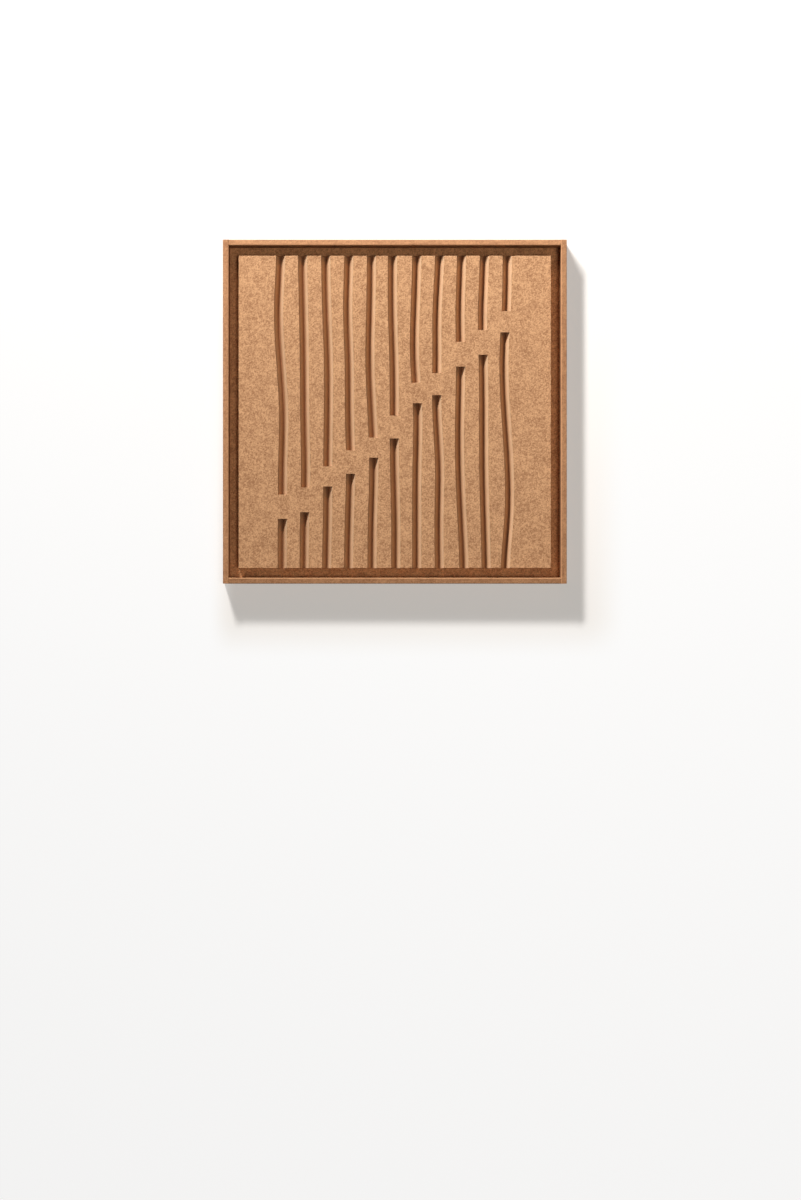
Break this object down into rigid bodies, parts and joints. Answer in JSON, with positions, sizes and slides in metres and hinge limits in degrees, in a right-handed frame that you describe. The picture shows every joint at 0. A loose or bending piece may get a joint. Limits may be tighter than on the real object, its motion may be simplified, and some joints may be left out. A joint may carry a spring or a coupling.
{
  "type": "3d wall panel tile",
  "caption": "Square raw fibreboard wall tile: a relief panel with wavy, broken V-grooves lies set back inside a thin rim, with a shadow gap all round and a flat back.",
  "frame": {"origin": "centre of the tile's flat back", "axes": "+Z out of the face, the way it lies on a floor; +Y to the tile's top edge along the grooves; +X to its right edge"},
  "size_m": [0.3, 0.3, 0.0268],
  "materials": {
    "relief_board": "raw fibreboard, sanded face, mottled tan with pale fibre flecks",
    "base_board": "raw fibreboard, plain",
    "rail_board": "raw fibreboard, sawn and lightly sanded edge"
  },
  "bodies": {
    "root": {"relief_panel": "relief_board", "base_board": "base_board", "left_rail": "rail_board", "right_rail": "rail_board", "top_rail": "rail_board", "bottom_rail": "rail_board"}
  },
  "joints": []
}
